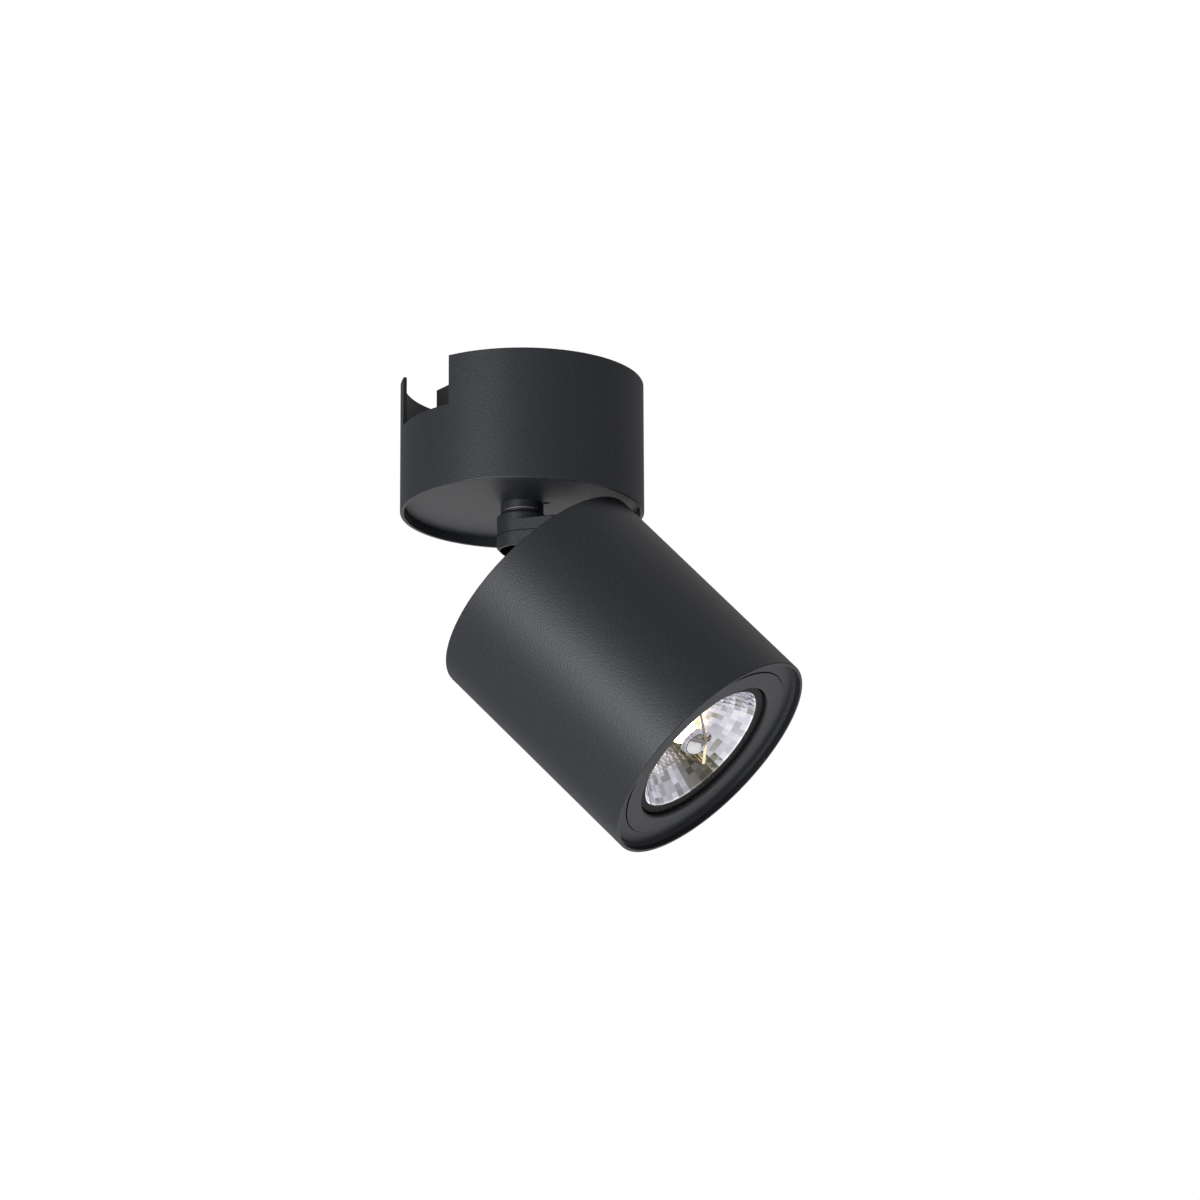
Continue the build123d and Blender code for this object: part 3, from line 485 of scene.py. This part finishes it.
places = add(rib_tree, "GeometryNodeMeshLine", {
    "Count": size["ribs"], "Start Location": first, "Offset": step}).outputs["Mesh"]
row = add(rib_tree, "GeometryNodeInstanceOnPoints", {"Points": places, "Instance": rib}).outputs[0]
on_points(rib_tree, size, row, polyamide)
lid_ribs = grown("transformer_lid_ribs", rib_tree, [
    ((case_low.x + case_high.x) / 2, (case_low.y + case_high.y) / 2, case_high.z)])
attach(lid_ribs, "canopy")

# Extruded silicone: warm grey rubber with a dull bloom; on the leads it is drawn over copper.
silicone, _, _ = grained("extruded_silicone", "#8f8c85", "#aaa7a0", 1.2 * mm, 0.5, 0.02 * mm)
coat(silicone, "transformer_pad", "mains_leads", "feed_leads")
fastened("slotted_terminal_screws", zinc_heads, "terminal_screws", up, "zinc_steel", "canopy",
         sides=28, radius=1.65 * mm, height=1.6 * mm, shoulder=0.86, arm=4.0 * mm, cross_arm=0.7 * mm,
         recess=0.7 * mm, shank=1.2 * mm, reach=3.2 * mm)

# ==== Pan bearing and knuckle ============================================================
# A hollow threaded spigot turns in a collar under the base plate. The cast arm and fork are
# screwed together, and a pivot screw clamps the head's hinge lug in the fork.
coat(powder_coat, "pan_collar", "knuckle_arm", "knuckle_fork")
coat(zinc, "stop_washer", "pan_nut", "pan_spigot", "pivot_nut")

# Black oxide on hardened steel: a dark blue-grey metal with a thin oil gloss.
black_oxide, _, _ = grained("oiled_black_oxide", "#232326", "#35353a", 1.0 * mm, 0.36, 0.02 * mm, 0.7)
coat(black_oxide, "stop_screw", "pivot_screw", "fork_screws", "spring_washer")

# ==== Head housing =======================================================================
# Aluminium tube with a pressed rear cap, its ventilation slots punched, on a steel ledge. The
# hinge lug is a casting screwed through the cap. All but the ledge are powder coated.
joints = {joint["name"]: joint for joint in frame["joints"]}
beam = Vector(joints["ring_twist"]["axis"])
tilt_line = Vector(joints["tilt"]["axis"])
ring_face = 3.5 * mm          # the twist ring's face is set back this far from the head's rim
mouth = Vector(joints["ring_twist"]["pos_m"]) + beam * ring_face
lamp_place = Matrix.Translation(mouth) @ Matrix(
    (tilt_line, beam.cross(tilt_line), beam)).transposed().to_4x4()

coat(powder_coat, "head_tube", "rear_cap", "hinge_lug")
coat(zinc, "rear_ledge", "lug_screws")
coat(silicone, "cable_grommet")
black_heads = head_tree("black_head", black_oxide)
fastened("cross_head_cap_screws", black_heads, "cap_screws", -beam, "black_oxide", "head",
         sides=32, radius=2.4 * mm, height=1.4 * mm, shoulder=0.78, arm=2.8 * mm, cross_arm=2.8 * mm,
         recess=0.8 * mm, shank=1.25 * mm, reach=5.8 * mm)

# ==== Lamp chassis and socket ============================================================
# Three threaded rods carry a heat shield, the socket plate and the lamp carrier. The steatite
# socket is screwed to its plate, and two leads come out of it through the rear cap.
fastened("threaded_chassis_rods", zinc_rods, "chassis_rods", -beam, "zinc_steel", "head",
         length=96.8 * mm)
fastened("chamfered_rod_nuts", zinc_heads, "rod_nuts", -beam, "zinc_steel", "head")
coat(zinc, "socket_plate", "socket_screws")

# Mill-finish aluminium sheet: a bright metal with straight rolling marks.
mill_finish, _, _ = grained("mill_finish_sheet", "#b4b6ba", "#d0d2d6", 1.2 * mm, 0.32, 0.01 * mm, 1.0,
                            stretch=(0.1, 1, 1))
coat(mill_finish, "heat_shield")

# Steatite, dry pressed and fired unglazed: cream white with a fine dry grain.
steatite, _, _ = grained("fired_steatite", "#ddd6c6", "#ece7da", 0.8 * mm, 0.55, 0.03 * mm)
coat(steatite, "lamp_socket")
coat(silicone, "lamp_leads")

# ==== Front rings ========================================================================
# A steel carrier with a bayonet cup, and two turned aluminium rings: the front ring stays in
# the tube, and the retaining ring twists out to free the lamp. A blackened holder centres it.
coat(powder_coat, "front_ring", "retaining_ring")
coat(zinc, "carrier_ring", "bayonet_ring")

# Phosphated and blackened steel: a dead matt black, made darker still as painted shade for the deep gap
# round the lamp.
blackened, _, _ = grained("blackened_phosphate_and_painted_shade", "#0a0a0b", "#141416", 0.5 * mm, 0.75, 0.02 * mm)
coat(blackened, "lamp_holder")

# ==== Lamp ===============================================================================
# 12 V halogen reflector lamp, 70 mm across: a pressed aluminium bowl with rings of facets, a
# quartz capsule on its axis, and a silvered cap on a wire that hides the capsule's glare.
bowl_radius = 33.2 * mm
rim_radius = 35.0 * mm
neck_radius = 8.0 * mm
rim_setback = 6.95 * mm       # from the head's rim back to the bowl's
bowl_depth = 27.0 * mm
bowl_wall = 0.8 * mm

# Drawn brass shell, nickel plated: a warm bright metal for the lamp's base and pins.
nickelled, _, _ = grained("nickelled_brass", "#aba392", "#cbc3b2", 1.0 * mm, 0.3, 0.01 * mm, 1.0)
coat(nickelled, "lamp_base", "base_pins")

# Aluminium vacuum-deposited on the pressed bowl: a cool, nearly white mirror, with a soft
# pressing texture about 1.5 mm across that breaks up what each facet mirrors.
mirror, mirror_tree, mirror_shader = grained(
    "metallised_mirror", "#dcdbe4", "#f6f6fa", 1.5 * mm, 0.11, 0.004 * mm, 1.0)

# Painted reflection: each facet is given its own tone, from olive brown to nearly white, for what that facet
# mirrors.
facet_reflection = add(mirror_tree, "ShaderNodeAttribute", attribute_name="painted_facet_reflection").outputs["Fac"]
reflection_ramp = add(mirror_tree, "ShaderNodeValToRGB", {"Fac": facet_reflection})
reflection_ramp.color_ramp.elements[0].color = linear("#3d392c")
reflection_ramp.color_ramp.elements[1].position = 0.14
reflection_ramp.color_ramp.elements[1].color = linear("#6e6a54")
for at, colour in ((0.28, "#a09c8c"), (0.42, "#bab9c1"), (0.6, "#cdccd6"),
                   (0.8, "#dcdbe5"), (1.0, "#f1f0f8")):
    reflection_ramp.color_ramp.elements.new(at).color = linear(colour)
mirror_tree.links.new(reflection_ramp.outputs["Color"], mirror_shader.inputs["Base Color"])

# The flame floods one side of the bowl with light, which fades across it.
flood_most, flood_least = 0.5, 0.02
square_to_tilt = lamp_place.col[1].to_3d()
middle = lamp_place.translation.dot(square_to_tilt)
mirror_at = add(mirror_tree, "ShaderNodeTexCoord").outputs["Object"]
across = add(mirror_tree, "ShaderNodeVectorMath", {0: mirror_at, 1: square_to_tilt},
             operation="DOT_PRODUCT").outputs["Value"]
flood = add(mirror_tree, "ShaderNodeMapRange", {
    "Value": across, "From Min": middle - 24 * mm, "From Max": middle + 4 * mm,
    "To Min": flood_most, "To Max": flood_least}, interpolation_type="SMOOTHSTEP").outputs[0]

# The facets beside the capsule mirror the flame itself.
flame_most = 3.0
flame_at = lamp_place @ Vector((16 * mm, 6 * mm, -26 * mm))
flame_gap = add(mirror_tree, "ShaderNodeVectorMath", {0: mirror_at, 1: flame_at},
                operation="DISTANCE").outputs["Value"]
flame = add(mirror_tree, "ShaderNodeMapRange", {
    "Value": flame_gap, "From Min": 3 * mm, "From Max": 11 * mm, "To Min": flame_most,
    "To Max": 0.0}, interpolation_type="SMOOTHSTEP").outputs[0]

# The bowl's edge is rolled over, and catches a thin line of light all round.
edge_glow = 0.5
edge = mouth.dot(beam) - rim_setback
forth = add(mirror_tree, "ShaderNodeVectorMath", {0: mirror_at, 1: beam},
            operation="DOT_PRODUCT").outputs["Value"]
rim_line = add(mirror_tree, "ShaderNodeMapRange", {
    "Value": forth, "From Min": edge - 0.7 * mm, "From Max": edge - 0.3 * mm,
    "To Max": edge_glow}).outputs[0]

# A facet gives back these lights by its own tone: warm gold by the flame, cool white elsewhere.
lit_edge = add(mirror_tree, "ShaderNodeMath", {0: flood, 1: rim_line}, operation="ADD").outputs[0]
shine = add(mirror_tree, "ShaderNodeMath", {0: flame, 1: lit_edge}, operation="ADD").outputs[0]
own_shine = add(mirror_tree, "ShaderNodeMath", {0: shine, 1: facet_reflection}, operation="MULTIPLY").outputs[0]
coolness = add(mirror_tree, "ShaderNodeMapRange", {
    "Value": flame_gap, "From Min": 6 * mm, "From Max": 12 * mm}).outputs[0]
glow_colour = add(mirror_tree, "ShaderNodeMix", {
    0: coolness, 6: linear("#ffcf8c"), 7: linear("#ecebf6")}, data_type="RGBA").outputs[2]
mirror_tree.links.new(own_shine, mirror_shader.inputs["Emission Strength"])
mirror_tree.links.new(glow_colour, mirror_shader.inputs["Emission Color"])

# The bowl is a sheet rolled round the axis: its rows become rings and its columns go round.
facet_tree, size = node_tree("faceted_bowl", rings=15, around=60, bowl=bowl_radius, rim=rim_radius,
                             neck=neck_radius, depth=bowl_depth, dark_side=0.25, crown=0.12 * mm)
rows = add(facet_tree, "ShaderNodeMath", {0: size["rings"], 1: 2.0}, operation="ADD").outputs[0]
columns = add(facet_tree, "ShaderNodeMath", {0: size["around"], 1: 1.0}, operation="ADD").outputs[0]
sheet = add(facet_tree, "GeometryNodeMeshGrid", {
    "Size X": 1.0, "Size Y": 1.0, "Vertices X": rows, "Vertices Y": columns}).outputs["Mesh"]
on_sheet = add(facet_tree, "GeometryNodeInputPosition").outputs[0]
where = add(facet_tree, "ShaderNodeSeparateXYZ", {0: on_sheet}).outputs
out_share = add(facet_tree, "ShaderNodeMath", {0: where["X"], 1: 0.5}, operation="ADD").outputs[0]
round_share = add(facet_tree, "ShaderNodeMath", {0: where["Y"], 1: 0.5}, operation="ADD").outputs[0]

# The last ring lies past the bowl's edge and makes the flat rim.
with_rim = add(facet_tree, "ShaderNodeMath", {0: size["rings"], 1: 1.0}, operation="ADD").outputs[0]
overrun = add(facet_tree, "ShaderNodeMath", {0: with_rim, 1: size["rings"]},
              operation="DIVIDE").outputs[0]
along = add(facet_tree, "ShaderNodeMath", {0: out_share, 1: overrun}, operation="MULTIPLY").outputs[0]
span = add(facet_tree, "ShaderNodeMath", {0: size["bowl"], 1: size["neck"]},
           operation="SUBTRACT").outputs[0]
wide = add(facet_tree, "ShaderNodeMath", {0: along, 1: span, 2: size["neck"]},
           operation="MULTIPLY_ADD").outputs[0]
radius = add(facet_tree, "ShaderNodeMath", {0: wide, 1: size["rim"]}, operation="MINIMUM").outputs[0]

# The section is a parabola, deepest at the neck.
bowl_share = add(facet_tree, "ShaderNodeMath", {0: radius, 1: size["bowl"]},
                 operation="DIVIDE").outputs[0]
fall = add(facet_tree, "ShaderNodeMath", {0: bowl_share, 1: 2.0}, operation="POWER").outputs[0]
rest = add(facet_tree, "ShaderNodeMath", {0: 1.0, 1: fall}, operation="SUBTRACT").outputs[0]
inside = add(facet_tree, "ShaderNodeMath", {0: rest, 1: 0.0}, operation="MAXIMUM").outputs[0]
sink = add(facet_tree, "ShaderNodeMath", {0: inside, 1: size["depth"]}, operation="MULTIPLY").outputs[0]
turn = add(facet_tree, "ShaderNodeMath", {0: round_share, 1: 2 * pi}, operation="MULTIPLY").outputs[0]
cosine = add(facet_tree, "ShaderNodeMath", {0: turn}, operation="COSINE").outputs[0]
sine = add(facet_tree, "ShaderNodeMath", {0: turn}, operation="SINE").outputs[0]
bowl_x = add(facet_tree, "ShaderNodeMath", {0: radius, 1: cosine}, operation="MULTIPLY").outputs[0]
bowl_y = add(facet_tree, "ShaderNodeMath", {0: radius, 1: sine}, operation="MULTIPLY").outputs[0]
bowl_z = add(facet_tree, "ShaderNodeMath", {0: sink, 1: -1.0}, operation="MULTIPLY").outputs[0]
bowl_point = add(facet_tree, "ShaderNodeCombineXYZ", {"X": bowl_x, "Y": bowl_y, "Z": bowl_z}).outputs[0]

# Each point keeps its row and column, counted in facets, and each facet the way it faces.
row = add(facet_tree, "ShaderNodeMath", {0: along, 1: size["rings"]}, operation="MULTIPLY").outputs[0]
column = add(facet_tree, "ShaderNodeMath", {0: round_share, 1: size["around"]},
             operation="MULTIPLY").outputs[0]
cells = add(facet_tree, "GeometryNodeCaptureAttribute", {"Geometry": sheet}, domain="POINT")
cells.capture_items.new("FLOAT", "row")
cells.capture_items.new("FLOAT", "column")
facet_tree.links.new(row, cells.inputs["row"])
facet_tree.links.new(column, cells.inputs["column"])
bowl = add(facet_tree, "GeometryNodeSetPosition", {
    "Geometry": cells.outputs["Geometry"], "Position": bowl_point}).outputs[0]
facets = add(facet_tree, "GeometryNodeCaptureAttribute", {"Geometry": bowl}, domain="FACE")
facets.capture_items.new("VECTOR", "facing")
normal = add(facet_tree, "GeometryNodeInputNormal").outputs[0]
facet_tree.links.new(normal, facets.inputs["facing"])

# Painted reflection: a wedge of facets on one side is painted dark for the dark rings it mirrors, and the
# rest pale for the pale room, each at its own random share.
wedge_core, wedge_edge = 0.16, 0.42         # half its width, in radians
wedge_painted_reflection = 0.28
own = add(facet_tree, "FunctionNodeRandomValue", {"Seed": 4, 2: 0.3, 3: 1.0}, data_type="FLOAT").outputs[1]
in_bowl = add(facet_tree, "GeometryNodeInputPosition").outputs[0]
place = add(facet_tree, "ShaderNodeSeparateXYZ", {0: in_bowl}).outputs
bearing = add(facet_tree, "ShaderNodeMath", {0: place["Y"], 1: place["X"]},
              operation="ARCTAN2").outputs[0]
off_wedge = add(facet_tree, "ShaderNodeMath", {0: bearing, 1: size["dark_side"]},
                operation="ADD").outputs[0]
aside = add(facet_tree, "ShaderNodeMath", {0: off_wedge}, operation="ABSOLUTE").outputs[0]
lit = add(facet_tree, "ShaderNodeMapRange", {
    "Value": aside, "From Min": wedge_core, "From Max": wedge_edge, "To Min": wedge_painted_reflection,
    "To Max": 1.0}).outputs[0]
tone = add(facet_tree, "ShaderNodeMath", {0: own, 1: lit}, operation="MULTIPLY").outputs[0]
toned = add(facet_tree, "GeometryNodeStoreNamedAttribute", {
    "Geometry": facets.outputs["Geometry"], "Name": "painted_facet_reflection", "Value": tone},
    data_type="FLOAT", domain="FACE").outputs[0]

# Each facet is crowned: it swells a little in its middle, where both swells are 1.
swells = []
for cell in (cells.outputs["row"], cells.outputs["column"]):
    part = add(facet_tree, "ShaderNodeMath", {0: cell}, operation="FRACT").outputs[0]
    offset = add(facet_tree, "ShaderNodeMath", {0: part, 1: 2.0, 2: -1.0},
                 operation="MULTIPLY_ADD").outputs[0]
    square = add(facet_tree, "ShaderNodeMath", {0: offset, 1: offset}, operation="MULTIPLY").outputs[0]
    swells.append(add(facet_tree, "ShaderNodeMath", {0: 1.0, 1: square}, operation="SUBTRACT").outputs[0])
swell = add(facet_tree, "ShaderNodeMath", {0: swells[0], 1: swells[1]}, operation="MULTIPLY").outputs[0]
crown = add(facet_tree, "ShaderNodeMath", {0: size["crown"], 1: swell}, operation="MULTIPLY").outputs[0]
push = add(facet_tree, "ShaderNodeVectorMath", {0: facets.outputs["facing"], "Scale": crown},
           operation="SCALE").outputs["Vector"]
fine = add(facet_tree, "GeometryNodeSubdivideMesh", {"Mesh": toned, "Level": 2}).outputs[0]
fine = add(facet_tree, "GeometryNodeSetPosition", {"Geometry": fine, "Offset": push}).outputs[0]
fine = add(facet_tree, "GeometryNodeMergeByDistance", {"Geometry": fine, "Distance": 0.01 * mm}).outputs[0]
plain = add(facet_tree, "GeometryNodeRealizeInstances", {"Geometry": fine}).outputs[0]
finished = add(facet_tree, "GeometryNodeSetMaterial", {"Geometry": plain, "Material": mirror}).outputs[0]
add(facet_tree, "NodeGroupOutput", {"Geometry": finished})

reflector = grown("faceted_reflector", facet_tree)
reflector.data.transform(lamp_place @ Matrix.Translation((0, 0, -rim_setback)))
reflector.data.shade_smooth()
reflector.data.set_sharp_from_angle(angle=radians(9))
wall = reflector.modifiers.new("pressed_wall", "SOLIDIFY")
wall.thickness = bowl_wall
wall.offset = -1.0
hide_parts("lamp_reflector")
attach(reflector, "head")


def lathe(name, profile, material, body, steps=64):
    """A closed turned piece from half-section points of radius and setback, on the lamp's axis."""
    turned = bmesh.new()
    ring = [turned.verts.new((radius, 0, -setback)) for radius, setback in profile]
    edges = [turned.edges.new(pair) for pair in zip(ring, ring[1:])]
    bmesh.ops.spin(turned, geom=ring + edges, cent=(0, 0, 0), axis=(0, 0, 1), angle=2 * pi, steps=steps,
                   use_merge=True)
    bmesh.ops.remove_doubles(turned, verts=turned.verts, dist=weld_gap)
    bmesh.ops.recalc_face_normals(turned, faces=turned.faces)
    bmesh.ops.transform(turned, matrix=lamp_place, verts=turned.verts)
    mesh = bpy.data.meshes.new(name)
    turned.to_mesh(mesh)
    turned.free()
    mesh.shade_smooth()
    mesh.set_sharp_from_angle(angle=radians(35))
    mesh.materials.append(material)
    made = bpy.data.objects.new(name, mesh)
    bpy.context.scene.collection.objects.link(made)
    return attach(made, body)


def arc(centre_radius, centre_setback, radius, start, end, steps=16):
    """Points along an arc of a half-section; 0 degrees points outwards and 90 to the mouth."""
    turns = [radians(start + (end - start) * k / steps) for k in range(steps + 1)]
    return [(centre_radius + radius * cos(turn), centre_setback - radius * sin(turn)) for turn in turns]


# The capsule is blown quartz, clear and fire-polished. It burns, so it glows warm white
# round the filament and fades towards its pinched foot.
capsule_radius = 6.1 * mm
capsule_tip = 13.4 * mm
foot_radius = 3.4 * mm
foot_top = 29 * mm
foot_end = 34.5 * mm
filament_setback = 20.0 * mm
glow_most, glow_least = 14.0, 0.6
quartz, quartz_tree, quartz_shader = grained("lit_quartz", "#fff4e4", "#fffaf2", 2 * mm, 0.08)
quartz_at = add(quartz_tree, "ShaderNodeTexCoord").outputs["Object"]
filament_at = lamp_place @ Vector((0, 0, -filament_setback))
gap = add(quartz_tree, "ShaderNodeVectorMath", {0: quartz_at, 1: filament_at},
          operation="DISTANCE").outputs["Value"]
glow = add(quartz_tree, "ShaderNodeMapRange", {
    "Value": gap, "From Min": 4.5 * mm, "From Max": 12 * mm, "To Min": glow_most,
    "To Max": glow_least}, interpolation_type="SMOOTHSTEP").outputs[0]
quartz_tree.links.new(glow, quartz_shader.inputs["Emission Strength"])
quartz_shader.inputs["Emission Color"].default_value = linear("#ffe0b0")
foot = [(0, foot_end), (foot_radius, foot_end), (foot_radius, foot_top)]
bulb = arc(0, capsule_tip + capsule_radius, capsule_radius, -25, 84)
capsule = lathe("quartz_capsule", foot + bulb + [(0, capsule_tip)], quartz, "head")
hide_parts("lamp_capsule")

# The glare cap is a spun aluminium thimble, silvered like the bowl, open at the back.
cap_radius = 6.3 * mm
cap_tip = 5.8 * mm
cap_back = 12.8 * mm
cap_wall = 0.35 * mm
silvering, _, _ = grained("silvered_cap", "#d8d6d8", "#eeecee", 1.2 * mm, 0.07, 0.002 * mm, 1.0)
dome_out = arc(0, cap_tip + cap_radius, cap_radius, 86, 0)
dome_in = arc(0, cap_tip + cap_radius, cap_radius - cap_wall, 0, 86)
skirt = [(cap_radius, cap_back), (cap_radius - cap_wall, cap_back)]
glare_cap = lathe("glare_cap_dome", [(0, cap_tip)] + dome_out + skirt + dome_in
                  + [(0, cap_tip + cap_wall)], silvering, "head")
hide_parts("glare_cap")


def in_lamp(sideways, upward, setback):
    """A point in the lamp, in millimetres: along the tilt axis, square to it, back from the rim."""
    return lamp_place @ Vector((sideways * mm, upward * mm, -setback * mm))


# Nickel wire that carries the cap, welded to the bowl's rim at both ends, with an eye at the cap.
wire_radius = 0.65 * mm
nickel, nickel_tree, nickel_shader = grained("nickel_wire", "#8a8378", "#aaa296", 0.6 * mm, 0.25, 0.0, 1.0)

# The leg beyond the cap is lit by the flame from close by.
leg_glow = 0.9
wire_at = add(nickel_tree, "ShaderNodeTexCoord").outputs["Object"]
along_tilt = add(nickel_tree, "ShaderNodeVectorMath", {0: wire_at, 1: tilt_line},
                 operation="DOT_PRODUCT").outputs["Value"]
leg = mouth.dot(tilt_line)
lit_leg = add(nickel_tree, "ShaderNodeMapRange", {
    "Value": along_tilt, "From Min": leg + 1 * mm, "From Max": leg + 5 * mm, "To Max": leg_glow}).outputs[0]
nickel_tree.links.new(lit_leg, nickel_shader.inputs["Emission Strength"])
nickel_shader.inputs["Emission Color"].default_value = linear("#ffeec8")
route = [in_lamp(-28.5, 11.8, 8.6), in_lamp(-16, 8.4, 8.1), in_lamp(-4.5, 5.3, 7.5), in_lamp(-1.2, 4.2, 7.0),
         in_lamp(0.8, 4.6, 6.9), in_lamp(1.2, 6.4, 7.2), in_lamp(-0.6, 7.0, 7.5), in_lamp(-1.4, 5.2, 7.4),
         in_lamp(0.2, 3.7, 7.2), in_lamp(3.5, 3.0, 7.7), in_lamp(16, -0.2, 9.8), in_lamp(29.0, -3.6, 11.9)]
line = bpy.data.curves.new("cap_wire_line", "CURVE")
line.dimensions = "3D"
line.bevel_depth = wire_radius
line.bevel_resolution = 3
line.resolution_u = 8
line.use_fill_caps = True
spline = line.splines.new("NURBS")
spline.points.add(len(route) - 1)
for point, place in zip(spline.points, route):
    point.co = (*place, 1)
spline.order_u = 3
spline.use_endpoint_u = True
wire_holder = bpy.data.objects.new("cap_wire_holder", line)
bpy.context.scene.collection.objects.link(wire_holder)
cap_wire = plain_mesh("bent_cap_wire", wire_holder)
cap_wire.data.materials.append(nickel)
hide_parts("cap_wire")
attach(cap_wire, "head")
